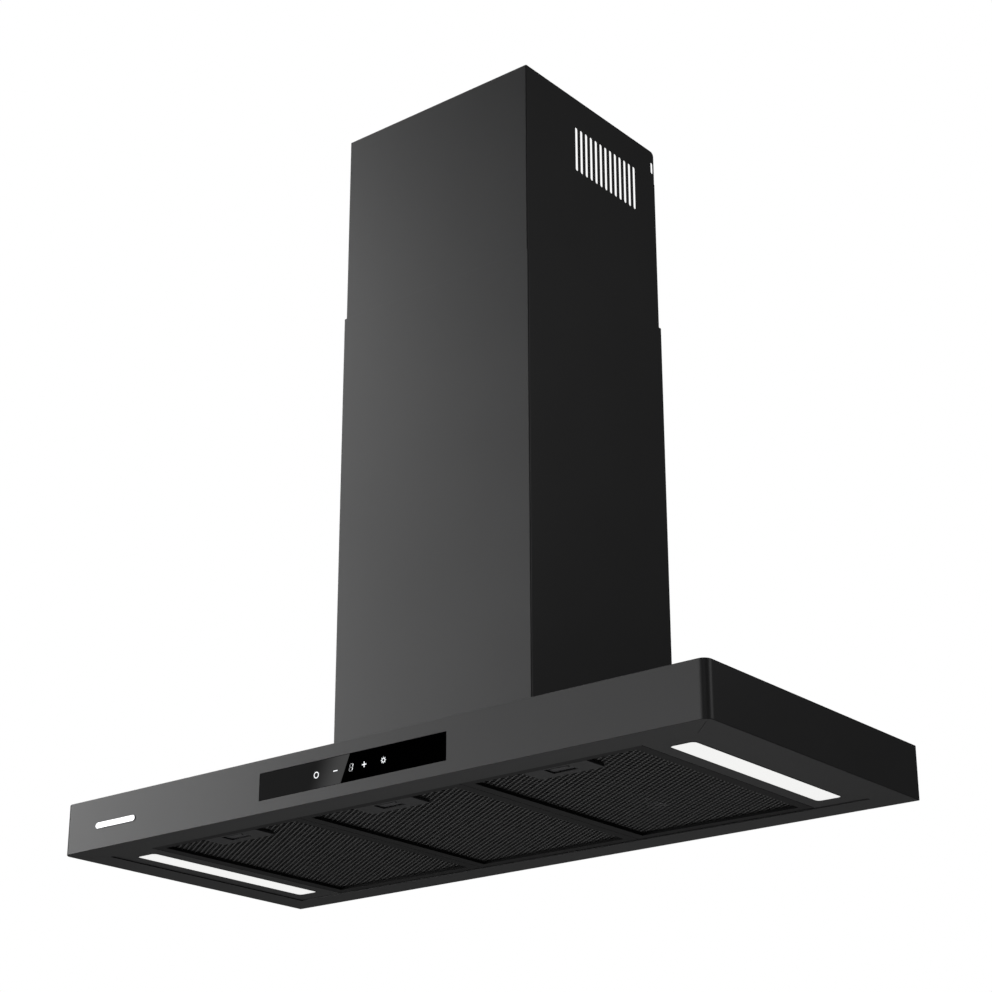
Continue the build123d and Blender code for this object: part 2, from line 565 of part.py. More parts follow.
collar_base, collar_base_r, collar_base_t, stop_w, stop_t = 166.0, 12.0, 2.5, 4.0, 2.0
with BuildPart() as collar:
    with BuildSketch(Plane.XY.offset(casing_top + air_gap)):
        with Locations((0, collar_y)):
            RectangleRounded(collar_base, collar_base, collar_base_r)
    extrude(amount=collar_base_t)
    with BuildSketch(Plane.XY.offset(casing_top + 1)):
        with Locations((0, collar_y)):
            Circle(collar_r)
    extrude(amount=collar_top - casing_top - 1)
    with BuildSketch(Plane.XY.offset(casing_top)):
        with Locations((0, collar_y)):
            Circle(collar_r - collar_wall)
    extrude(amount=collar_top, mode=Mode.SUBTRACT)
    # stop for the closed flaps
    with BuildSketch(Plane.XY.offset(flap_z - 2 * stop_t)):
        with Locations((0, collar_y)):
            Circle(collar_r - collar_wall + 0.1)
            Circle(collar_r - collar_wall - stop_w, mode=Mode.SUBTRACT)
    extrude(amount=stop_t)
    for edge in (-1, 1):
        with BuildSketch(Plane(origin=(-collar_r - 1, collar_y + edge * flap_offset, flap_z),
                               x_dir=(0, 1, 0), z_dir=(1, 0, 0))):
            Circle(flap_pin_r + running_gap)
        extrude(amount=2 * collar_r + 2, mode=Mode.SUBTRACT)
    with BuildSketch(Plane.XY.offset(casing_top)):
        with Locations((0, collar_y)):
            with GridLocations(collar_screw_spacing, collar_screw_spacing, 2, 2):
                Circle(tapped_r)
    extrude(amount=air_gap + collar_base_t + cut, mode=Mode.SUBTRACT)
save(collar, "outlet_collar")
half_spacing = collar_screw_spacing / 2
screws(
    "collar_screws",
    [(x, collar_y + y, casing_top + air_gap + collar_base_t)
     for x in (-half_spacing, half_spacing) for y in (-half_spacing, half_spacing)],
    3.2, 1.6, 6.0, (0, 0, -1),
)

for name, edge in (("front", -1), ("rear", 1)):
    pin_y = collar_y + edge * flap_offset
    with BuildPart() as flap:
        with BuildSketch(Plane.XY.offset(flap_z - flap_t / 2)):
            with Locations((0, collar_y)):
                Circle(flap_r)
            # a flap ends 1.5 mm short of its pin's middle
            with Locations((0, pin_y - edge * (collar_r + 1.5))):
                Rectangle(2 * collar_r + 10, 2 * collar_r, mode=Mode.SUBTRACT)
        extrude(amount=flap_t)
        with BuildSketch(Plane(origin=(-collar_r + 0.3, pin_y, flap_z),
                               x_dir=(0, 1, 0), z_dir=(1, 0, 0))):
            Circle(flap_pin_r)
        extrude(amount=2 * collar_r - 0.6)
    save(flap, f"damper_flap_{name}")

# ---- electrics in the canopy --------------------------------------------
box_x0, box_x1, box_y0, box_y1, box_z0, box_z1 = 190.0, 330.0, -150.0, -22.0, 22.0, 58.6
box_wall, box_round, boss_in, boss_half, lid_t = 2.0, 4.0, 7.0, 5.0, 2.0
bosses = [(x, y) for x in (box_x0 + boss_in, box_x1 - boss_in)
          for y in (box_y0 + boss_in, box_y1 - boss_in)]
with BuildPart() as power_box:
    block(box_x0, box_x1, box_y0, box_y1, box_z0, box_z1)
    fillet(power_box.edges().filter_by(Axis.Z), box_round)
    block(box_x0 + box_wall, box_x1 - box_wall, box_y0 + box_wall, box_y1 - box_wall,
          box_z0 - cut, box_z1 - box_wall, Mode.SUBTRACT)
    for x, y in bosses:
        block(x - boss_half, x + boss_half, y - boss_half, y + boss_half, box_z0, box_z1 - 1)
        with Locations((x, y, box_z0 + 6)):
            Cylinder(1.4, 14, mode=Mode.SUBTRACT)
save(power_box, "power_box")

with BuildPart() as power_lid:
    block(box_x0, box_x1, box_y0, box_y1, box_z0 - air_gap - lid_t, box_z0 - air_gap)
    fillet(power_lid.edges().filter_by(Axis.Z), box_round)
    with BuildSketch(Plane.XY.offset(box_z0 - air_gap - lid_t - cut)):
        with Locations(*bosses):
            Circle(1.8)
    extrude(amount=lid_t + 2 * cut, mode=Mode.SUBTRACT)
save(power_lid, "power_box_lid")
screws("power_box_screws", [(x, y, box_z0 - air_gap - lid_t) for x, y in bosses], 2.8, 1.3, 9.0,
       (0, 0, 1))

power_board_z0, power_board_z1, inset = 26.0, 27.6, 14.0
with BuildPart() as power_board:
    block(box_x0 + inset, box_x1 - inset, box_y0 + inset, box_y1 - inset, power_board_z0,
          power_board_z1)
    # a transformer, three relays and a plug strip
    block(box_x0 + 20, box_x0 + 52, box_y0 + 20, box_y0 + 48, power_board_z1 - 0.1, 50)
    for x in (box_x0 + 66, box_x0 + 86, box_x0 + 106):
        block(x, x + 14, box_y0 + 20, box_y0 + 39, power_board_z1 - 0.1, 43)
    block(box_x0 + 24, box_x0 + 84, box_y1 - 32, box_y1 - 20, power_board_z1 - 0.1, 38)
save(power_board, "power_board")

capacitor_x, capacitor_y, capacitor_z, capacitor_r, capacitor_l = 148.0, -60.0, 40.0, 15.0, 36.0
with BuildPart() as capacitor:
    with BuildSketch(Plane.YZ.offset(capacitor_x)):
        with Locations((capacitor_y, capacitor_z)):
            Circle(capacitor_r)
    extrude(amount=capacitor_l)
    fillet(capacitor.faces().sort_by(Axis.X)[0].edges(), 2)
save(capacitor, "motor_capacitor")

gland_r, gland_head, gland_tail, lead_r = 9.0, 5.0, 9.0, 4.0
with BuildPart() as gland:
    with BuildSketch(Plane.XY.offset(canopy_h + 0.1)):
        with Locations((gland_x, gland_y)):
            RegularPolygon(gland_r, 6)
    extrude(amount=gland_head)
    with BuildSketch(Plane.XY.offset(canopy_h + 1)):
        with Locations((gland_x, gland_y)):
            Circle(gland_hole_r - air_gap)
    extrude(amount=-gland_tail)
    with BuildSketch(Plane.XY.offset(canopy_h + gland_head + cut)):
        with Locations((gland_x, gland_y)):
            Circle(lead_r)
    extrude(amount=-gland_head - gland_tail - 2 * cut, mode=Mode.SUBTRACT)
save(gland, "cable_gland")

# ---- chimney covers -----------------------------------------------------


def cover_section(width, front_y, rear_y):
    """Front, two sides and two rear flanges, folded from one sheet."""
    middle = (0, (front_y + rear_y) / 2)
    with BuildSketch() as section:
        with Locations(middle):
            RectangleRounded(width, rear_y - front_y, fold_r + cover_sheet)
            RectangleRounded(width - 2 * cover_sheet, rear_y - front_y - 2 * cover_sheet,
                             fold_r, mode=Mode.SUBTRACT)
        with Locations((0, rear_y)):
            Rectangle(width - 2 * cover_flange, 4 * cut, mode=Mode.SUBTRACT)
    return section.sketch


cover_z0, tab_reach, tab_half_l = canopy_h + air_gap, 6.0, 12.0
with BuildPart() as lower_cover:
    with BuildSketch(Plane.XY.offset(cover_z0)):
        add(cover_section(lower_cover_w, lower_cover_front, lower_cover_rear))
    extrude(amount=lower_cover_top - cover_z0)
    for x, y in tab_screws:
        edge = 1 if x > 0 else -1
        block(edge * (lower_cover_w / 2 - 0.5), edge * (abs(x) - tab_reach), y - tab_half_l,
              y + tab_half_l, cover_z0, cover_z0 + cover_sheet)
    with BuildSketch(Plane.XY.offset(canopy_h)):
        with Locations(*tab_screws):
            Circle(screw_hole_r)
    extrude(amount=air_gap + cover_sheet + cut, mode=Mode.SUBTRACT)
save(lower_cover, "lower_duct_cover")
screws("cover_screws", [(x, y, canopy_h + air_gap + cover_sheet) for x, y in tab_screws], 3.2,
       2.0, 6.0, (0, 0, -1))

flange_stop, top_round = 46.0, 6.0
with BuildPart() as upper_cover:
    with BuildSketch(Plane.XY.offset(upper_cover_z0)):
        add(cover_section(upper_cover_w, upper_cover_front, upper_cover_rear))
    extrude(amount=upper_cover_top - upper_cover_z0)
    # the rear flanges stop short of the top, and the upper rear corners are rounded
    rear_edge = upper_cover_rear - cover_sheet - 1
    block(-upper_cover_w, upper_cover_w, rear_edge, upper_cover_rear + cut,
          upper_cover_top - flange_stop, upper_cover_top + cut, Mode.SUBTRACT)
    arc_y, arc_z = rear_edge - top_round, upper_cover_top - top_round
    with BuildSketch(Plane.YZ.offset(-upper_cover_w)):
        with BuildLine():
            Line((arc_y, upper_cover_top), (rear_edge, upper_cover_top))
            Line((rear_edge, upper_cover_top), (rear_edge, arc_z))
            ThreePointArc((rear_edge, arc_z),
                          (arc_y + top_round * cos(radians(45)), arc_z + top_round * sin(radians(45))),
                          (arc_y, upper_cover_top))
        make_face()
    extrude(amount=2 * upper_cover_w, mode=Mode.SUBTRACT)
    # air vents and one fixing slot in each side
    with BuildSketch(Plane.YZ.offset(-upper_cover_w)):
        for i in range(vent_count):
            with Locations((vent_y0 + i * vent_pitch, (vent_z0 + vent_z1) / 2)):
                SlotOverall(vent_z1 - vent_z0, vent_w, rotation=90)
        with Locations((fixing_slot_y, (fixing_slot_z0 + fixing_slot_z1) / 2)):
            SlotOverall(fixing_slot_z1 - fixing_slot_z0, fixing_slot_w, rotation=90)
    extrude(amount=2 * upper_cover_w, mode=Mode.SUBTRACT)
save(upper_cover, "upper_duct_cover")
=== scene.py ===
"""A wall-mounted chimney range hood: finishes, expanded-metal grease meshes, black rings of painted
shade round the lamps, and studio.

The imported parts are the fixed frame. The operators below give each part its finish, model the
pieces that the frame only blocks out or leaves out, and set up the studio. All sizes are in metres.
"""

from math import radians, sqrt, tan

import bpy
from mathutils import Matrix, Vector


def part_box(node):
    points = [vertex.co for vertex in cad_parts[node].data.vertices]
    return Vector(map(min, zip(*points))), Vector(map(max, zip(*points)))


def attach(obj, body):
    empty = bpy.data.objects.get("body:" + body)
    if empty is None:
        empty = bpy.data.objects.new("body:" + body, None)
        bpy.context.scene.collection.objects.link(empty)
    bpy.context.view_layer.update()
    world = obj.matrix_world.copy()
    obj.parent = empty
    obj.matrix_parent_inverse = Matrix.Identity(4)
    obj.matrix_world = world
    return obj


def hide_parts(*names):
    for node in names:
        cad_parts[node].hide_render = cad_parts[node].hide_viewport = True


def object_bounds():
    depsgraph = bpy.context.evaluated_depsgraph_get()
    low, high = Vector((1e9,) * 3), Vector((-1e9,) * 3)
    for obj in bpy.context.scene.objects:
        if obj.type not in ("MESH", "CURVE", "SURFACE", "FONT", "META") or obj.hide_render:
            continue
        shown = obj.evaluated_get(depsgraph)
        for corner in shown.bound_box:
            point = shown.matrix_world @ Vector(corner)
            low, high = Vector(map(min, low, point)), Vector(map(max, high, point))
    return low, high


bl_info = {
    "name": "Chimney Range Hood",
    "version": (1, 0, 0),
    "blender": (4, 5, 0),
    "location": "3D View > Sidebar > Hood",
    "description": "Finishes, grease meshes and studio for a wall-mounted chimney range hood",
    "category": "Object",
}

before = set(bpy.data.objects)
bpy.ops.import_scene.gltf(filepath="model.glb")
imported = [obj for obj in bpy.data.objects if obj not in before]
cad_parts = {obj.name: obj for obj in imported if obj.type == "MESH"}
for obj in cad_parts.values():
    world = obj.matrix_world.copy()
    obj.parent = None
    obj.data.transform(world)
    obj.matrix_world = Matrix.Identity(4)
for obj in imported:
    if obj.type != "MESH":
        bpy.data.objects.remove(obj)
CAD_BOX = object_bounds()
FILTERS = ("left", "centre", "right")
SIDES = ("left", "right")
MM = 0.001

# sizes that the frame fixes
FRAME_BORDER, MESH_GAP = 12.0 * MM, 1.1 * MM
LENS_LIP, LENS_CORNER = 3.0 * MM, 6.0 * MM
MARK_HEIGHT, NUMERAL_LEAN = 29.2 * MM, tan(radians(12))

# places of what is modelled here, against the frame
LAYER_DEPTH, BACKING_COARSENESS = 0.7 * MM, 1.35
# the black ring round each lamp lens is painted shade: it stands in for the dark gap line between
# lens and panel
SHADE_RING_OVERLAP, SHADE_RING_DROP, SHADE_RING_CORNER_STEPS = 0.2 * MM, 0.1 * MM, 6
DIM_BARS_START, DIM_BARS_END, DIM_BARS_LOSS = -1.5 * MM, 3.6 * MM, 0.82

# studio
FLOOR_RADIUS, FLOOR_RIM, FLOOR_STEPS, FLOOR_CENTRE = 9.0, 0.4, 96, -0.2
CARD_SIZE, CARD_PLACE = 1.2, (-1.78, -2.05, 0.64)
CARD_FADE_START, CARD_FADE_END, CARD_DIM_SHARE = -0.10, -0.01, 0.22
CAMERA_LENS = 80.0
# each soft box's name, place, width, height and power in watts
SOFT_BOXES = (
    ("key_left", (-2.2, -1.6, 0.3), 0.9, 1.4, 19.4),
    ("key_front", (-0.9, -3.4, 0.4), 0.8, 1.6, 17.0),
    ("low_left", (-2.6, -2.4, -0.6), 1.4, 1.0, 9.7),
    ("high_left", (-1.7, -1.3, 1.9), 0.8, 0.8, 4.4),
    ("strip_left", (-1.6, -1.0, 1.2), 0.5, 1.0, 9.7),
    ("front_right", (1.3, -1.6, 0.5), 0.5, 0.9, 0.6),
    ("rear_right", (3.4, 1.0, 1.6), 1.2, 1.2, 15.0),
    ("floor_bounce", (-0.8, 0.8, -1.55), 2.0, 2.0, 5.3),
)


# ---- what a user would change ------------------------------------------------


def length(name, description, default):
    """A size in metres."""
    return bpy.props.FloatProperty(
        name=name, description=description, default=default, min=0.0, unit="LENGTH", precision=5
    )


def colour(name, description, default):
    """A linear colour."""
    return bpy.props.FloatVectorProperty(
        name=name, description=description, default=default, subtype="COLOR", size=3,
        min=0.0, max=1.0,
    )


def share(name, description, default, top=1.0):
    """A plain number from nothing to a top value."""
    return bpy.props.FloatProperty(
        name=name, description=description, default=default, min=0.0, max=top
    )


class HoodSizes(bpy.types.PropertyGroup):
    """Sizes of the pieces that are modelled here."""

    diamond_long: length("Diamond length", "Long diagonal of an opening in the mesh", 0.0107)
    diamond_short: length("Diamond width", "Short diagonal of an opening in the mesh", 0.0068)
    strand: length("Strand width", "Width of a strand of the expanded metal", 0.0018)
    gauge: length("Gauge", "Thickness of the expanded metal", 0.0006)
    # the ring round a lamp lens is a black ring of painted shade, for the dark gap line between
    # lens and panel
    shade_ring: length("Lamp seal", "Width of the black seal round a lamp lens", 0.0009)
    strand_tilt: share("Strand tilt", "Rise of a strand across its width", 0.18)
    tuck: length("Tuck", "How far a mesh reaches under the frame's lip", 0.004)


class HoodColours(bpy.types.PropertyGroup):
    """Colours of the finishes."""

    enamel: colour("Enamel", "Satin black enamel on the shells", (0.030, 0.030, 0.031))
    frame_black: colour("Filter frame", "Satin black on the filter frames", (0.012, 0.012, 0.0125))
    mesh_black: colour("Mesh", "Black coat on the expanded metal", (0.075, 0.075, 0.075))
    zinc: colour("Zinc", "Galvanised sheet", (0.52, 0.53, 0.55))
    plastic: colour("Plastic", "Black moulded plastic", (0.028, 0.028, 0.030))
    glass: colour("Glass", "Control glass with its black print behind", (0.0003, 0.0003, 0.0004))
    badge: colour("Badge", "Satin aluminium of the badge", (0.60, 0.60, 0.61))
    solder_mask: colour("Solder mask", "Green of the circuit boards", (0.020, 0.130, 0.055))
    lamp: colour("Lamp", "Light of the opal lenses", (0.84, 0.84, 0.83))
    marks: colour("Touch marks", "Light of the touch marks", (0.95, 0.97, 1.0))


class HoodStudio(bpy.types.PropertyGroup):
    """Camera and light."""

    camera_place: bpy.props.FloatVectorProperty(
        name="Camera place", description="Where the camera stands", size=3,
        default=(1.5303, -2.0488, -0.5759), subtype="TRANSLATION", unit="LENGTH",
    )
    camera_turn: bpy.props.FloatProperty(
        name="Camera turn", description="Turn of the camera to the left of straight at the wall",
        default=radians(39.213), subtype="ANGLE", unit="ROTATION",
    )
    camera_lift: bpy.props.FloatProperty(
        name="Camera lift", description="Tilt of the camera above level",
        default=radians(21.366), subtype="ANGLE", unit="ROTATION",
    )
    camera_shift: bpy.props.FloatVectorProperty(
        name="Camera shift", description="Shift of the camera's sensor", size=2,
        default=(0.0111, 0.0288),
    )
    floor_drop: length("Floor", "Height of the canopy's underside above the floor", 1.6)
    card_glow: share("Card", "Brightness of the card that the glass mirrors", 1.05, top=20.0)
    card_edge: bpy.props.FloatProperty(
        name="Card edge", description="Where the card's glow ends", default=-1.8115, unit="LENGTH"
    )
    card_lean: share("Card lean", "Lean of the edge of the glow", 0.42)
    fill_glow: share("Fill", "Grey light from all round", 0.05, top=20.0)


def sizes():
    return bpy.context.scene.hood_sizes


def colours():
    return bpy.context.scene.hood_colours


def studio():
    return bpy.context.scene.hood_studio


# ---- shader building ------------------------------------------------------------


def shader_node(tree, kind, inputs=None, **options):
    """Adds a node, sets its options, and links or fills its inputs."""
    node = tree.nodes.new("ShaderNode" + kind)
    for option, value in options.items():
        setattr(node, option, value)
    for key, value in (inputs or {}).items():
        if isinstance(value, bpy.types.NodeSocket):
            tree.links.new(value, node.inputs[key])
        else:
            node.inputs[key].default_value = value
    return node


def maths(tree, operation, *values, clamp=False):
    """A Math node's result."""
    node = shader_node(tree, "Math", dict(enumerate(values)), operation=operation, use_clamp=clamp)
    return node.outputs[0]


def scaled(tree, vector, factor):
    """A vector or a colour times a number."""
    node = shader_node(tree, "VectorMath", {0: vector, "Scale": factor}, operation="SCALE")
    return node.outputs[0]


def times(tree, vector, factors):
    """A vector times another, part by part."""
    node = shader_node(tree, "VectorMath", {0: vector, 1: factors}, operation="MULTIPLY")
    return node.outputs[0]


def noise(tree, vector, scale=1.0, detail=2.0, roughness=0.5):
    """A noise value at places given by a vector."""
    inputs = {"Vector": vector, "Scale": scale, "Detail": detail, "Roughness": roughness}
    return shader_node(tree, "TexNoise", inputs).outputs[0]


def blended(tree, factor, first, second):
    """A colour between two colours."""
    node = shader_node(
        tree, "Mix", {0: factor, 6: first, 7: second}, data_type="RGBA", clamp_factor=True
    )
    return node.outputs[2]


def ramp(tree, value, low, high, to_low=0.0, to_high=1.0):
    """A smooth step of a value from one range to another."""
    inputs = {
        "Value": value, "From Min": low, "From Max": high, "To Min": to_low, "To Max": to_high,
    }
    return shader_node(tree, "MapRange", inputs, interpolation_type="SMOOTHSTEP").outputs[0]


def opaque(rgb):
    return (*rgb, 1.0)


def effect(name, inputs, outputs, build):
    """A node group, made once, whose outputs come from build(tree, its inputs)."""
    found = bpy.data.node_groups.get(name)
    if found:
        return found
    tree = bpy.data.node_groups.new(name, "ShaderNodeTree")
    kinds = {"Vector": "NodeSocketVector", "Color": "NodeSocketColor"}
    for label, default in inputs.items():
        kind = kinds.get(label.split()[-1], "NodeSocketFloat")
        socket = tree.interface.new_socket(label, in_out="INPUT", socket_type=kind)
        if default is not None:
            socket.default_value = default
    for label in outputs:
        kind = kinds.get(label.split()[-1], "NodeSocketFloat")
        tree.interface.new_socket(label, in_out="OUTPUT", socket_type=kind)
    entry = tree.nodes.new("NodeGroupInput")
    end = tree.nodes.new("NodeGroupOutput")
    made = build(tree, {socket.name: socket for socket in entry.outputs if socket.name})
    for label, socket in zip(outputs, made):
        tree.links.new(socket, end.inputs[label])
    return tree


def tone_drift():
    """Slow change of colour and roughness over a surface, as no coat is quite even."""

    def build(tree, given):
        place = scaled(tree, given["Vector"], maths(tree, "DIVIDE", 1.0, given["Patch Size"]))
        drift = maths(tree, "MULTIPLY_ADD", noise(tree, place, detail=4.0), 2.0, -1.0)
        gain = maths(tree, "MULTIPLY_ADD", drift, given["Colour Change"], 1.0)
        rough = maths(tree, "MULTIPLY_ADD", drift, given["Roughness Change"], given["Roughness"])
        return scaled(tree, given["Base Color"], gain), rough

    inputs = {
        "Vector": None, "Base Color": (0.1, 0.1, 0.1, 1.0), "Roughness": 0.4,
        "Patch Size": 0.1, "Colour Change": 0.05, "Roughness Change": 0.05,
    }
    return effect("Tone Drift", inputs, ["Toned Color", "Toned Roughness"], build)


def fine_texture():
    """The fine bumps of enamel, powder coat and moulded plastic."""

    def build(tree, given):
        place = scaled(tree, given["Vector"], maths(tree, "DIVIDE", 1.0, given["Grain Size"]))
        fine = noise(tree, place, detail=1.0)
        broad = noise(tree, place, scale=0.21, detail=1.0)
        both = maths(tree, "MULTIPLY_ADD", broad, given["Waviness"], fine)
        return (both,)

    inputs = {"Vector": None, "Grain Size": 0.001, "Waviness": 0.5}
    return effect("Fine Texture", inputs, ["Height"], build)


def brushed_grain():
    """Long fine scratches along the direction that Stretch leaves slow."""

    def build(tree, given):
        place = times(tree, given["Vector"], given["Stretch Vector"])
        lines = noise(tree, place, detail=3.0, roughness=0.6)
        tone = maths(tree, "MULTIPLY_ADD", lines, given["Contrast"], 1.0)
        tone = maths(tree, "MULTIPLY_ADD", given["Contrast"], -0.5, tone)
        return lines, scaled(tree, given["Base Color"], tone)

    inputs = {
        "Vector": None, "Stretch Vector": (20.0, 3000.0, 3000.0),
        "Base Color": (0.5, 0.5, 0.5, 1.0), "Contrast": 0.3,
    }
    return effect("Brushed Grain", inputs, ["Height", "Toned Color"], build)


def settled_dust():
    """A little dust on faces that look up."""

    def build(tree, given):
        normal = shader_node(tree, "NewGeometry").outputs["Normal"]
        up = shader_node(tree, "SeparateXYZ", {0: normal}).outputs["Z"]
        sloping, flat = 0.55, 1.0
        facing = ramp(tree, up, sloping, flat)
        patches = ramp(tree, noise(tree, given["Vector"], scale=38.0, detail=5.0), 0.35, 0.75)
        mask = maths(tree, "MULTIPLY", facing, maths(tree, "MULTIPLY_ADD", patches, 0.7, 0.3))
        mask = maths(tree, "MULTIPLY", mask, given["Amount"], clamp=True)
        rough = maths(tree, "MULTIPLY_ADD", mask, 0.4, given["Roughness"], clamp=True)
        return blended(tree, mask, given["Base Color"], given["Dust Color"]), rough

    inputs = {
        "Vector": None, "Base Color": (0.1, 0.1, 0.1, 1.0), "Roughness": 0.4,
        "Dust Color": (0.32, 0.31, 0.29, 1.0), "Amount": 0.1,
    }
    return effect("Settled Dust", inputs, ["Dusted Color", "Dusted Roughness"], build)


def edge_rub_and_highlight():
    """The lighter line along an edge: partly where a coat thins over it, partly a painted highlight
    for the light that a rounded edge catches.
    """

    def build(tree, given):
        flat = shader_node(tree, "NewGeometry").outputs["Normal"]
        round_ = shader_node(tree, "Bevel", {"Radius": given["Width"]}, samples=4).outputs[0]
        turn = shader_node(tree, "VectorMath", {0: flat, 1: round_}, operation="DOT_PRODUCT")
        level, folded = 0.995, 0.90
        edge = ramp(tree, turn.outputs["Value"], level, folded)
        broken = ramp(tree, noise(tree, given["Vector"], scale=220.0, detail=4.0), 0.3, 0.7)
        mask = maths(tree, "MULTIPLY", edge, maths(tree, "MULTIPLY_ADD", broken, 0.6, 0.4))
        mask = maths(tree, "MULTIPLY", mask, given["Amount"], clamp=True)
        return (blended(tree, mask, given["Base Color"], given["Rub Color"]),)

    inputs = {
        "Vector": None, "Base Color": (0.1, 0.1, 0.1, 1.0), "Rub Color": (0.3, 0.3, 0.3, 1.0),
        "Width": 0.001, "Amount": 0.3,
    }
    return effect("Edge Rub And Highlight", inputs, ["Rubbed Color"], build)


class Finish:
    """A Principled material under construction, read at Object coordinates."""

    def __init__(self, name):
        self.material = bpy.data.materials.new(name)
        self.material.use_nodes = True
        self.tree = self.material.node_tree
        self.tree.nodes.clear()
        output = self.tree.nodes.new("ShaderNodeOutputMaterial")
        self.shader = self.tree.nodes.new("ShaderNodeBsdfPrincipled")
        self.tree.links.new(self.shader.outputs[0], output.inputs["Surface"])
        self.place = shader_node(self.tree, "TexCoord").outputs["Object"]

    def set(self, **values):
        """Sets or links the shader's inputs; an underscore stands for a space."""
        for name, value in values.items():
            socket = self.shader.inputs[name.replace("_", " ")]
            if isinstance(value, bpy.types.NodeSocket):
                self.tree.links.new(value, socket)
            else:
                socket.default_value = value

    def effect(self, group, **inputs):
        """Places a node group and returns its outputs in order."""
        node = self.tree.nodes.new("ShaderNodeGroup")
        node.node_tree = group
        self.tree.links.new(self.place, node.inputs["Vector"])
        for name, value in inputs.items():
            socket = node.inputs[name.replace("_", " ")]
            if isinstance(value, bpy.types.NodeSocket):
                self.tree.links.new(value, socket)
            else:
                socket.default_value = value
        return list(node.outputs)

    def bump(self, height, depth):
        """Feeds the normal from a height whose full range is a depth in metres."""
        inputs = {"Height": height, "Distance": depth, "Strength": 1.0}
        self.set(Normal=shader_node(self.tree, "Bump", inputs).outputs[0])


# ---- finishes ---------------------------------------------------------------


def black_enamel():
    """Satin black enamel baked on steel sheet: soft sheen, slight orange peel, and a painted
    highlight along the folds.
    """
    made = Finish("black_enamel")
    tone, rough = made.effect(
        tone_drift(), Base_Color=opaque(colours().enamel), Roughness=0.42,
        Patch_Size=0.12, Colour_Change=0.06, Roughness_Change=0.03,
    )
    # painted highlight: a lighter line along the folds, for the light that their rounded bends
    # catch
    tone, = made.effect(
        edge_rub_and_highlight(), Base_Color=tone, Rub_Color=(0.10, 0.10, 0.105, 1.0), Width=0.0012, Amount=0.3
    )
    tone, rough = made.effect(settled_dust(), Base_Color=tone, Roughness=rough, Amount=0.03)
    height, = made.effect(fine_texture(), Grain_Size=0.0006, Waviness=0.8)
    made.set(Base_Color=tone, Roughness=rough, Specular_IOR_Level=0.5)
    made.bump(height, 0.000012)
    return made.material


def frame_black():
    """Satin black lacquer on the filter frames."""
    made = Finish("filter_frame_lacquer")
    tone, rough = made.effect(
        tone_drift(), Base_Color=opaque(colours().frame_black), Roughness=0.40,
        Patch_Size=0.05, Colour_Change=0.08, Roughness_Change=0.04,
    )
    # the lighter line along the frame's edges is partly wear, partly a painted highlight
    tone, = made.effect(
        edge_rub_and_highlight(), Base_Color=tone, Rub_Color=(0.10, 0.10, 0.10, 1.0), Width=0.0006, Amount=0.35
    )
    height, = made.effect(fine_texture(), Grain_Size=0.0005, Waviness=0.6)
    made.set(Base_Color=tone, Roughness=rough, Specular_IOR_Level=0.15)
    made.bump(height, 0.000012)
    return made.material


def mesh_coat():
    """Thin black coat on expanded aluminium, a little shinier on its strands."""
    made = Finish("mesh_coat")
    tone, rough = made.effect(
        tone_drift(), Base_Color=opaque(colours().mesh_black), Roughness=0.34,
        Patch_Size=0.02, Colour_Change=0.20, Roughness_Change=0.06,
    )
    height, = made.effect(fine_texture(), Grain_Size=0.0003, Waviness=0.3)
    made.set(Base_Color=tone, Roughness=rough, Specular_IOR_Level=0.6)
    made.bump(height, 0.00001)
    return made.material


def moulded_black(name="moulded_black", roughness=0.5, grain=0.0004, lift=1.0):
    """Black plastic with a fine moulded grain and paler edges, partly worn and partly a painted
    highlight.
    """
    made = Finish(name)
    tone, rough = made.effect(
        tone_drift(), Base_Color=opaque([lift * part for part in colours().plastic]),
        Roughness=roughness, Patch_Size=0.04, Colour_Change=0.10, Roughness_Change=0.05,
    )
    # the paler edge line is partly wear, partly a painted highlight on the edge
    tone, = made.effect(
        edge_rub_and_highlight(), Base_Color=tone, Rub_Color=(0.08, 0.08, 0.085, 1.0), Width=0.0006, Amount=0.3
    )
    tone, rough = made.effect(settled_dust(), Base_Color=tone, Roughness=rough, Amount=0.06)
    height, = made.effect(fine_texture(), Grain_Size=grain, Waviness=0.5)
    made.set(Base_Color=tone, Roughness=rough)
    made.bump(height, 0.00003)
    return made.material


def galvanised():
    """Galvanised sheet: zinc crystals of differing tone under a thin dull skin."""
    made = Finish("galvanised")
    cells = shader_node(
        made.tree, "TexVoronoi", {"Vector": made.place, "Scale": 95.0, "Randomness": 1.0}
    )
    crystal = shader_node(made.tree, "SeparateColor", {0: cells.outputs["Color"]}).outputs[0]
    zinc = opaque(colours().zinc)
    dull = opaque([0.72 * part for part in colours().zinc])
    tone = blended(made.tree, crystal, dull, zinc)
    rough = maths(made.tree, "MULTIPLY_ADD", crystal, 0.16, 0.34)
    tone, rough = made.effect(
        tone_drift(), Base_Color=tone, Roughness=rough, Patch_Size=0.09, Colour_Change=0.08,
        Roughness_Change=0.05,
    )
    tone, rough = made.effect(settled_dust(), Base_Color=tone, Roughness=rough, Amount=0.12)
    height, = made.effect(fine_texture(), Grain_Size=0.0012, Waviness=0.8)
    made.set(Base_Color=tone, Roughness=rough, Metallic=1.0)
    made.bump(height, 0.00002)
    return made.material


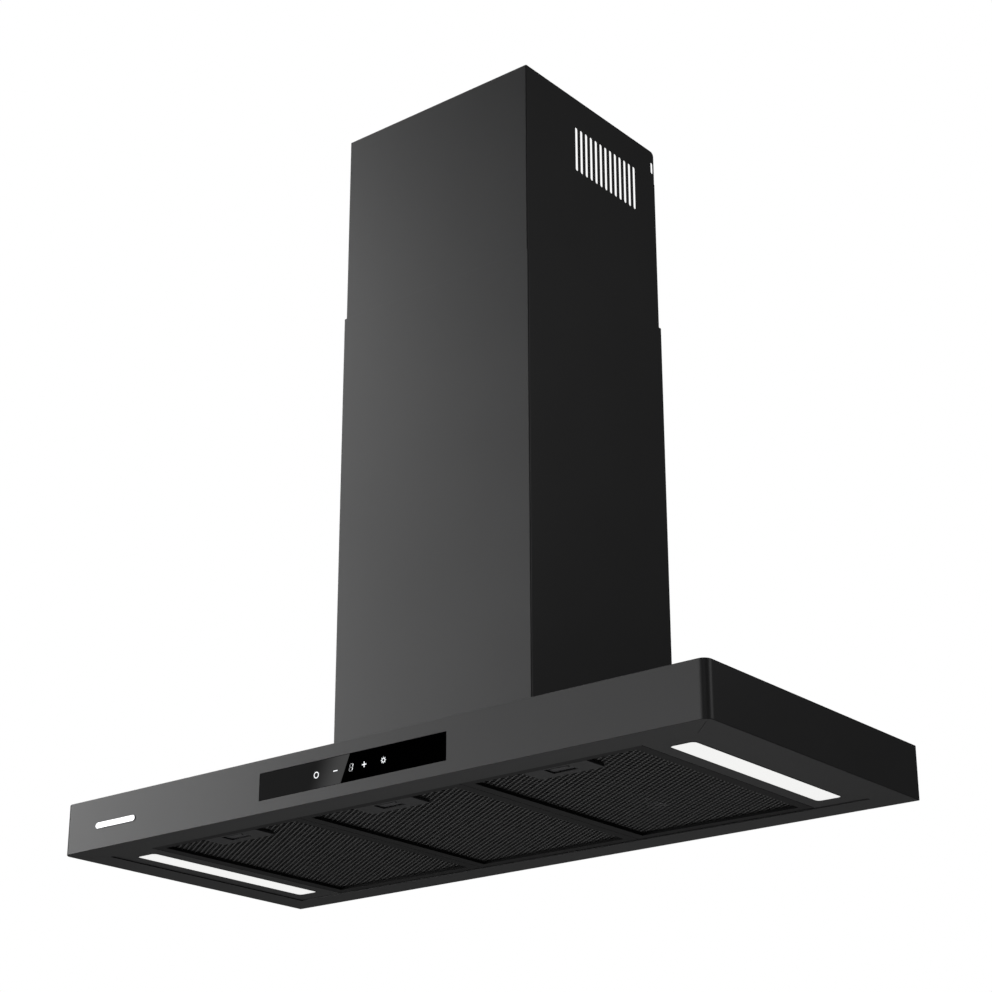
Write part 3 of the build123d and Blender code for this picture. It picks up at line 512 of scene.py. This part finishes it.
def brushed_metal(name, base, roughness, stretch, contrast=0.25, rub=0.0):
    """Brushed, ground or drawn metal with its lines along one direction."""
    made = Finish(name)
    height, tone = made.effect(
        brushed_grain(), Base_Color=opaque(base), Stretch_Vector=stretch, Contrast=contrast
    )
    tone, rough = made.effect(
        tone_drift(), Base_Color=tone, Roughness=roughness, Patch_Size=0.02,
        Colour_Change=0.06, Roughness_Change=0.05,
    )
    # lighter edge line: partly worn plating, partly a painted highlight on the edge
    if rub:
        tone, = made.effect(
            edge_rub_and_highlight(), Base_Color=tone, Rub_Color=(0.85, 0.85, 0.85, 1.0), Width=0.0004,
            Amount=rub,
        )
    made.set(Base_Color=tone, Roughness=rough, Metallic=1.0)
    made.bump(height, 0.00001)
    return made.material


def control_glass():
    """Flat polished glass over a black print, with the faintest wipe marks."""
    made = Finish("control_glass")
    tone, rough = made.effect(
        tone_drift(), Base_Color=opaque(colours().glass), Roughness=0.006, Patch_Size=0.03,
        Colour_Change=0.10, Roughness_Change=0.004,
    )
    made.set(Base_Color=tone, Roughness=rough, IOR=1.52)
    return made.material


def touch_marks():
    """The lit marks: even white, but of the numeral only the two right bars are fully lit."""
    made = Finish("touch_marks")
    tree = made.tree
    lit = tuple(colours().marks)
    place = shader_node(tree, "SeparateXYZ", {0: made.place}).outputs
    upright = maths(tree, "MULTIPLY_ADD", place["Z"], -NUMERAL_LEAN, MARK_HEIGHT * NUMERAL_LEAN)
    across = maths(tree, "ADD", place["X"], upright)
    from_left = maths(tree, "GREATER_THAN", across, DIM_BARS_START)
    to_right = maths(tree, "LESS_THAN", across, DIM_BARS_END)
    dim_bars = maths(tree, "MULTIPLY", from_left, to_right)
    glow = maths(tree, "MULTIPLY_ADD", dim_bars, -DIM_BARS_LOSS, 1.0)
    grain = maths(tree, "MULTIPLY_ADD", noise(tree, made.place, scale=2600.0), 0.10, 0.95)
    light = scaled(tree, lit, maths(tree, "MULTIPLY", glow, grain))
    made.set(Base_Color=scaled(tree, (0.2, 0.2, 0.2), grain), Roughness=0.4)
    made.set(Emission_Color=light, Emission_Strength=1.0)
    return made.material


def opal_lens():
    """Opal lamp lens, lit from behind, with the fine prisms of a diffuser."""
    made = Finish("opal_lens")
    tree = made.tree
    prisms = shader_node(
        tree, "TexVoronoi", {"Vector": made.place, "Scale": 900.0, "Randomness": 0.35}
    ).outputs["Distance"]
    glow = maths(tree, "MULTIPLY_ADD", prisms, -0.05, 1.0)
    tone, rough = made.effect(
        tone_drift(), Base_Color=opaque(colours().lamp), Roughness=0.45, Patch_Size=0.06,
        Colour_Change=0.008, Roughness_Change=0.05,
    )
    made.set(Base_Color=scaled(tree, tone, 0.35), Roughness=rough)
    made.set(Emission_Color=scaled(tree, tone, glow), Emission_Strength=1.0)
    made.bump(prisms, 0.00008)
    return made.material


def circuit_board():
    """Green solder mask over copper tracks, and tinned pads."""
    made = Finish("circuit_board")
    tree = made.tree
    tracks = shader_node(
        tree, "TexBrick",
        {
            "Vector": made.place, "Scale": 60.0, "Mortar Size": 0.06, "Bias": -0.2,
            "Brick Width": 0.5, "Row Height": 0.22,
        },
        offset=0.37,
    ).outputs["Fac"]
    mask = opaque(colours().solder_mask)
    over_copper = opaque([min(1.0, 1.9 * part + 0.01) for part in colours().solder_mask])
    tone = blended(tree, tracks, mask, over_copper)
    pads = shader_node(tree, "TexVoronoi", {"Vector": made.place, "Scale": 210.0}).outputs[0]
    pad_outside, pad_inside = 0.16, 0.12
    pad = ramp(tree, pads, pad_outside, pad_inside)
    tone = blended(tree, pad, tone, (0.62, 0.60, 0.56, 1.0))
    tone, rough = made.effect(
        tone_drift(), Base_Color=tone, Roughness=0.3, Patch_Size=0.02, Colour_Change=0.05,
        Roughness_Change=0.05,
    )
    made.set(Base_Color=tone, Roughness=rough)
    made.bump(maths(tree, "ADD", tracks, pad), 0.00003)
    return made.material


def rubber():
    """Dull moulded rubber."""
    made = Finish("rubber")
    tone, rough = made.effect(
        tone_drift(), Base_Color=(0.018, 0.018, 0.018, 1.0), Roughness=0.78, Patch_Size=0.01,
        Colour_Change=0.25, Roughness_Change=0.08,
    )
    height, = made.effect(fine_texture(), Grain_Size=0.0005, Waviness=0.4)
    made.set(Base_Color=tone, Roughness=rough)
    made.bump(height, 0.00004)
    return made.material


def paint(material, *nodes):
    """Gives a finish to parts of the frame."""
    for name in nodes:
        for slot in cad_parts[name].material_slots:
            slot.material = material


# ---- modelling ----------------------------------------------------------------


def start_piece():
    """Deselects all, so that an operator acts on the new piece alone."""
    bpy.ops.object.select_all(action="DESELECT")


def copied(piece, shift):
    """A copy of a piece, with its own mesh, moved along the width of the hood."""
    copy = piece.copy()
    copy.data = piece.data.copy()
    bpy.context.collection.objects.link(copy)
    copy.location.x = shift
    return copy


def thicken(piece, thickness):
    """Gives an open sheet its thickness, half to each side."""
    sheet = piece.modifiers.new("gauge", "SOLIDIFY")
    sheet.thickness = thickness
    sheet.offset = 0.0
    bpy.ops.object.modifier_apply(modifier=sheet.name)


def settle(piece, name, material, body):
    """Names a finished piece, puts its place in its mesh, and gives it finish and body."""
    bpy.ops.object.select_all(action="DESELECT")
    piece.select_set(True)
    bpy.context.view_layer.objects.active = piece
    bpy.ops.object.transform_apply(location=True, rotation=True, scale=True)
    piece.name = piece.data.name = name
    piece.data.materials.clear()
    piece.data.materials.append(material)
    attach(piece, body)


def trim(centre, half, axis):
    """Cuts the mesh in edit mode to a band about a centre, along one axis."""
    for side in (-1, 1):
        normal = Vector((0.0, 0.0, 0.0))
        normal[axis] = side
        bpy.ops.mesh.select_all(action="SELECT")
        bpy.ops.mesh.bisect(
            plane_co=centre + normal * half, plane_no=normal, clear_outer=True
        )


def expanded_sheet(centre, width, depth, long_diagonal, short_diagonal):
    """A sheet of expanded metal: diamonds of strands that all tilt the same way.

    A grid is turned by an eighth and stretched, so that its cells are diamonds, and trimmed.
    Each cell is inset by half a strand and its inside is taken out. Every ring then tilts about
    its own centre, which makes each strand slope across its width.
    """
    count = int(width / long_diagonal + depth / short_diagonal) + 3
    start_piece()
    bpy.ops.mesh.primitive_grid_add(
        x_subdivisions=count, y_subdivisions=count, size=count, location=centre,
        rotation=(0.0, 0.0, radians(45)),
    )
    piece = bpy.context.object
    bpy.ops.object.transform_apply(location=False, rotation=True, scale=False)
    piece.scale = (long_diagonal / sqrt(2), short_diagonal / sqrt(2), 1.0)
    bpy.ops.object.transform_apply(location=True, rotation=False, scale=True)
    bpy.ops.object.mode_set(mode="EDIT")
    trim(centre, width / 2, axis=0)
    trim(centre, depth / 2, axis=1)
    bpy.ops.mesh.select_mode(type="FACE")
    bpy.ops.mesh.select_all(action="SELECT")
    bpy.ops.mesh.inset(thickness=sizes().strand / 2, use_individual=True)
    bpy.ops.object.mode_set(mode="OBJECT")
    tilt_cells(piece)
    bpy.ops.object.mode_set(mode="EDIT")
    bpy.ops.mesh.delete(type="ONLY_FACE")
    bpy.ops.object.mode_set(mode="OBJECT")
    thicken(piece, sizes().gauge)
    return piece


def tilt_cells(piece):
    """Tilts each selected cell about its centre, towards the back."""
    mesh = piece.data
    for cell in mesh.polygons:
        if cell.select:
            middle = cell.center.copy()
            for index in cell.vertices:
                point = mesh.vertices[index].co
                point.z -= (point.y - middle.y) * sizes().strand_tilt


def make_shade_ring(centre, width, length):
    """A thin flat black ring with round corners over the gap between a lens and its panel: painted
    shade for the dark gap line there.
    """
    start_piece()
    bpy.ops.mesh.primitive_plane_add(size=1.0, location=centre)
    piece = bpy.context.object
    piece.scale = (width, length, 1.0)
    bpy.ops.object.transform_apply(location=True, rotation=False, scale=True)
    bpy.ops.object.mode_set(mode="EDIT")
    bpy.ops.mesh.select_mode(type="VERT")
    bpy.ops.mesh.select_all(action="SELECT")
    bpy.ops.mesh.bevel(offset=LENS_CORNER, segments=SHADE_RING_CORNER_STEPS, affect="VERTICES")
    bpy.ops.mesh.select_mode(type="FACE")
    bpy.ops.mesh.select_all(action="SELECT")
    bpy.ops.mesh.inset(thickness=sizes().shade_ring)
    bpy.ops.mesh.delete(type="FACE")
    bpy.ops.object.mode_set(mode="OBJECT")
    thicken(piece, sizes().shade_ring / 2)
    return piece


# ---- operators ------------------------------------------------------------------


class HOOD_OT_shells(bpy.types.Operator):
    """Enamel the canopy, both duct covers and the lamp panels"""

    bl_idname = "hood.shells"
    bl_label = "Enamelled shells"

    def execute(self, context):
        paint(
            black_enamel(), "canopy_shell", "lower_duct_cover", "upper_duct_cover",
            *[f"lamp_panel_{side}" for side in SIDES],
        )
        return {"FINISHED"}


class HOOD_OT_badge(bpy.types.Operator):
    """Brush the blank badge"""

    bl_idname = "hood.badge"
    bl_label = "Blank badge"

    def execute(self, context):
        satin = brushed_metal("satin_badge", colours().badge, 0.32, (60.0, 4000.0, 4000.0))
        paint(satin, "blank_badge")
        return {"FINISHED"}


class HOOD_OT_controls(bpy.types.Operator):
    """Finish the control glass, its lit marks, the carrier and the touch board"""

    bl_idname = "hood.controls"
    bl_label = "Touch controls"

    def execute(self, context):
        paint(control_glass(), "control_glass")
        paint(touch_marks(), "control_icons")
        paint(moulded_black("carrier_black", 0.55), "control_carrier")
        return {"FINISHED"}


class HOOD_OT_lamps(bpy.types.Operator):
    """Finish the opal lamp lenses and put a thin black ring of painted shade round each, for the
    dark gap line
    """

    bl_idname = "hood.lamps"
    bl_label = "Lamps"

    def execute(self, context):
        paint(opal_lens(), *[f"lamp_lens_{side}" for side in SIDES])
        # the black ring round each lens is painted shade for the dark gap between lens and panel
        shade_ring_black = moulded_black("shade_ring_black", 0.7, grain=0.0003)
        low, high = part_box("lamp_lens_left")
        middle = (low + high) / 2
        middle.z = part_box("lamp_panel_left")[0].z - SHADE_RING_DROP
        # the lens has a lip behind the panel, which its box takes in
        change = 2 * (SHADE_RING_OVERLAP - LENS_LIP)
        ring = make_shade_ring(middle, high.x - low.x + change, high.y - low.y + change)
        for side in SIDES:
            piece = copied(ring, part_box(f"lamp_lens_{side}")[0].x - low.x)
            settle(piece, f"lamp_shade_ring_{side}", shade_ring_black, "hood")
        bpy.data.objects.remove(ring)
        return {"FINISHED"}


class HOOD_OT_boards(bpy.types.Operator):
    """Finish the circuit boards"""

    bl_idname = "hood.boards"
    bl_label = "Circuit boards"

    def execute(self, context):
        paint(
            circuit_board(), "control_board", "power_board",
            *[f"lamp_board_{side}" for side in SIDES],
        )
        return {"FINISHED"}


class HOOD_OT_filters(bpy.types.Operator):
    """Finish the filter frames, latch plates, sliders and springs"""

    bl_idname = "hood.filters"
    bl_label = "Filter frames and latches"

    def execute(self, context):
        lacquer = frame_black()
        latch = moulded_black("latch_black", 0.42, grain=0.0003)
        slider = moulded_black("slider_black", 0.36, grain=0.0003, lift=2.2)
        ground = brushed_metal("ground_spring", (0.55, 0.55, 0.54), 0.3, (80.0, 80.0, 5000.0))
        for name in FILTERS:
            paint(lacquer, f"filter_frame_{name}")
            paint(latch, f"latch_plate_{name}")
            paint(slider, f"latch_slider_{name}")
            paint(ground, f"latch_spring_{name}")
        return {"FINISHED"}


class HOOD_OT_grease_meshes(bpy.types.Operator):
    """Model the expanded-metal layers of the three grease filters"""

    bl_idname = "hood.grease_meshes"
    bl_label = "Grease meshes"

    def execute(self, context):
        coat = mesh_coat()
        low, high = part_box("filter_mesh_centre")
        frame_low, frame_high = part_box("filter_frame_centre")
        width = frame_high.x - frame_low.x - 2 * FRAME_BORDER + 2 * sizes().tuck
        depth = high.y - low.y - 2 * (FRAME_BORDER - MESH_GAP) + 2 * sizes().tuck
        middle = (low + high) / 2
        layers = (
            ("grease_mesh", low.z + LAYER_DEPTH, 1.0),
            ("backing_mesh", high.z - LAYER_DEPTH, BACKING_COARSENESS),
        )
        for layer, height, coarseness in layers:
            sheet = expanded_sheet(
                Vector((middle.x, middle.y, height)), width, depth,
                sizes().diamond_long * coarseness, sizes().diamond_short * coarseness,
            )
            for name in FILTERS:
                piece = copied(sheet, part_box(f"filter_mesh_{name}")[0].x - low.x)
                settle(piece, f"{layer}_{name}", coat, f"filter_{name}")
                if layer == "grease_mesh":
                    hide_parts(f"filter_mesh_{name}")
            bpy.data.objects.remove(sheet)
        return {"FINISHED"}


class HOOD_OT_sheet_metal(bpy.types.Operator):
    """Finish the galvanised sheet parts behind the shells"""

    bl_idname = "hood.sheet_metal"
    bl_label = "Galvanised sheet"

    def execute(self, context):
        paint(
            galvanised(), "canopy_back_panel", "wall_plate", "motor_spider", "casing_front",
            "casing_rear", "casing_top",
            *[f"{piece}_{side}" for piece in ("casing_side", "lamp_housing") for side in SIDES],
        )
        return {"FINISHED"}


class HOOD_OT_blower(bpy.types.Operator):
    """Finish the scroll, the fan wheel, the motor and what holds it"""

    bl_idname = "hood.blower"
    bl_label = "Blower"

    def execute(self, context):
        paint(moulded_black("scroll_black", 0.55, grain=0.0006), "scroll_left", "scroll_right")
        paint(
            moulded_black("wheel_black", 0.45, grain=0.0003), "fan_wheel", "fan_blades_left",
            "fan_blades_right",
        )
        paint(
            brushed_metal("motor_can", (0.34, 0.35, 0.36), 0.42, (300.0, 40.0, 40.0)), "motor"
        )
        paint(
            brushed_metal("ground_shaft", (0.6, 0.6, 0.6), 0.22, (5000.0, 90.0, 90.0)),
            "motor_shaft",
        )
        paint(
            brushed_metal("drawn_can", (0.74, 0.74, 0.75), 0.3, (30.0, 3000.0, 3000.0)),
            "motor_capacitor",
        )
        paint(rubber(), "motor_feet")
        return {"FINISHED"}


class HOOD_OT_outlet(bpy.types.Operator):
    """Finish the outlet collar and its two backdraught flaps"""

    bl_idname = "hood.outlet"
    bl_label = "Outlet"

    def execute(self, context):
        paint(
            moulded_black("collar_black", 0.48, grain=0.0005), "outlet_collar",
            "damper_flap_front", "damper_flap_rear",
        )
        return {"FINISHED"}


class HOOD_OT_power_box(bpy.types.Operator):
    """Finish the power box, its lid and the cable gland"""

    bl_idname = "hood.power_box"
    bl_label = "Power box"

    def execute(self, context):
        paint(
            moulded_black("power_box_black", 0.52, grain=0.0007), "power_box", "power_box_lid",
            "cable_gland",
        )
        return {"FINISHED"}


class HOOD_OT_screws(bpy.types.Operator):
    """Finish the zinc-plated screws"""

    bl_idname = "hood.screws"
    bl_label = "Screws"

    def execute(self, context):
        plated = brushed_metal(
            "plated_screw", (0.62, 0.62, 0.60), 0.28, (900.0, 900.0, 900.0), 0.2, rub=0.5
        )
        paint(
            plated, "wall_plate_screws", "blower_screws", "collar_screws", "power_box_screws",
            "cover_screws",
        )
        return {"FINISHED"}


class HOOD_OT_studio(bpy.types.Operator):
    """Build the floor, the lights and the camera"""

    bl_idname = "hood.studio"
    bl_label = "Studio"

    def execute(self, context):
        set_world()
        lay_floor()
        hang_lights()
        place_camera(context)
        context.scene.view_settings.view_transform = "Standard"
        return {"FINISHED"}


# ---- studio -------------------------------------------------------------------


def set_world():
    """White behind the object, and a dim grey light from all round."""
    world = bpy.data.worlds.new("studio")
    bpy.context.scene.world = world
    world.use_nodes = True
    tree = world.node_tree
    tree.nodes.clear()
    seen = shader_node(tree, "LightPath").outputs["Is Camera Ray"]
    grey = shader_node(tree, "Background", {"Strength": studio().fill_glow}).outputs[0]
    white = shader_node(tree, "Background", {0: (1, 1, 1, 1), "Strength": 1.0}).outputs[0]
    mixed = shader_node(tree, "MixShader", {0: seen, 1: grey, 2: white}).outputs[0]
    output = tree.nodes.new("ShaderNodeOutputWorld")
    tree.links.new(mixed, output.inputs["Surface"])


def lay_floor():
    """A pale round floor, well below the hood."""
    start_piece()
    bpy.ops.mesh.primitive_circle_add(
        vertices=FLOOR_STEPS, radius=FLOOR_RADIUS, fill_type="NGON",
        location=(0.0, FLOOR_CENTRE, -studio().floor_drop),
    )
    floor = bpy.context.object
    bpy.ops.object.mode_set(mode="EDIT")
    bpy.ops.mesh.inset(thickness=FLOOR_RIM)
    bpy.ops.object.mode_set(mode="OBJECT")
    bpy.ops.object.transform_apply(location=True, rotation=False, scale=True)
    floor.name = floor.data.name = "floor"
    made = Finish("pale_floor")
    tone, rough = made.effect(
        tone_drift(), Base_Color=(0.80, 0.80, 0.80, 1.0), Roughness=0.7, Patch_Size=1.5,
        Colour_Change=0.02, Roughness_Change=0.05,
    )
    made.set(Base_Color=tone, Roughness=rough)
    floor.data.materials.append(made.material)
    floor.visible_glossy = False


def soft_light(name, place, width, height, power):
    """A soft box at a place, facing the hood's middle."""
    light = bpy.data.lights.new(name, "AREA")
    light.shape = "RECTANGLE"
    light.size, light.size_y = width, height
    light.energy = power
    lamp = bpy.data.objects.new(name, light)
    bpy.context.collection.objects.link(lamp)
    lamp.location = place
    aim = (CAD_BOX[0] + CAD_BOX[1]) / 2 - Vector(place)
    lamp.rotation_euler = aim.to_track_quat("-Z", "Y").to_euler()
    lamp.visible_camera = False


def hang_lights():
    """The soft boxes round the hood: most of the light comes from the front left."""
    for box in SOFT_BOXES:
        soft_light(*box)
    hang_card()


def hang_card():
    """A dim card that only the control glass mirrors: a glow that ends at a slanted edge."""
    start_piece()
    bpy.ops.mesh.primitive_plane_add(
        size=CARD_SIZE, location=CARD_PLACE, rotation=(radians(-90), 0.0, 0.0)
    )
    card = bpy.context.object
    bpy.ops.object.transform_apply(location=True, rotation=True, scale=True)
    card.name = card.data.name = "card"
    made = Finish("card_glow")
    tree = made.tree
    parts = shader_node(tree, "SeparateXYZ", {0: made.place}).outputs
    lean = maths(tree, "MULTIPLY_ADD", parts["Z"], -studio().card_lean, parts["X"])
    reach = maths(tree, "SUBTRACT", lean, studio().card_edge)
    bright = studio().card_glow
    rise = ramp(tree, reach, CARD_FADE_START, CARD_FADE_END, CARD_DIM_SHARE * bright, bright)
    glow = maths(tree, "MULTIPLY", rise, maths(tree, "LESS_THAN", reach, 0.0))
    made.set(Base_Color=(0.0, 0.0, 0.0, 1.0), Specular_IOR_Level=0.0)
    made.set(Emission_Color=scaled(tree, (1.0, 1.0, 1.0), glow), Emission_Strength=1.0)
    card.data.materials.append(made.material)
    card.visible_camera = card.visible_diffuse = card.visible_shadow = False


def place_camera(context):
    """The camera, below the canopy and to its right, looking up."""
    camera = bpy.data.cameras.new("camera")
    eye = bpy.data.objects.new("camera", camera)
    context.collection.objects.link(eye)
    eye.location = studio().camera_place
    eye.rotation_euler = (radians(90) + studio().camera_lift, 0.0, studio().camera_turn)
    camera.lens = CAMERA_LENS
    camera.shift_x, camera.shift_y = studio().camera_shift
    context.scene.camera = eye


# ---- registration ------------------------------------------------------------


GROUPS = {"hood_sizes": HoodSizes, "hood_colours": HoodColours, "hood_studio": HoodStudio}
OPERATORS = (
    HOOD_OT_shells, HOOD_OT_badge, HOOD_OT_controls, HOOD_OT_lamps, HOOD_OT_boards,
    HOOD_OT_filters, HOOD_OT_grease_meshes, HOOD_OT_sheet_metal, HOOD_OT_blower,
    HOOD_OT_outlet, HOOD_OT_power_box, HOOD_OT_screws, HOOD_OT_studio,
)


class HOOD_PT_panel(bpy.types.Panel):
    """The hood's pieces, sizes and colours"""

    bl_idname = "HOOD_PT_panel"
    bl_label = "Range hood"
    bl_space_type = "VIEW_3D"
    bl_region_type = "UI"
    bl_category = "Hood"

    def draw(self, context):
        layout = self.layout
        for operator in OPERATORS:
            layout.operator(operator.bl_idname)
        for name, group in GROUPS.items():
            box = layout.box()
            for field in group.__annotations__:
                box.prop(getattr(context.scene, name), field)


def register():
    for made in (*GROUPS.values(), *OPERATORS, HOOD_PT_panel):
        bpy.utils.register_class(made)
    for name, group in GROUPS.items():
        setattr(bpy.types.Scene, name, bpy.props.PointerProperty(type=group))


def unregister():
    for name in GROUPS:
        delattr(bpy.types.Scene, name)
    for made in reversed((*GROUPS.values(), *OPERATORS, HOOD_PT_panel)):
        bpy.utils.unregister_class(made)


def main():
    """Builds the whole hood."""
    register()
    for operator in OPERATORS:
        category, name = operator.bl_idname.split(".")
        getattr(getattr(bpy.ops, category), name)()


if __name__ == "__main__":
    main()
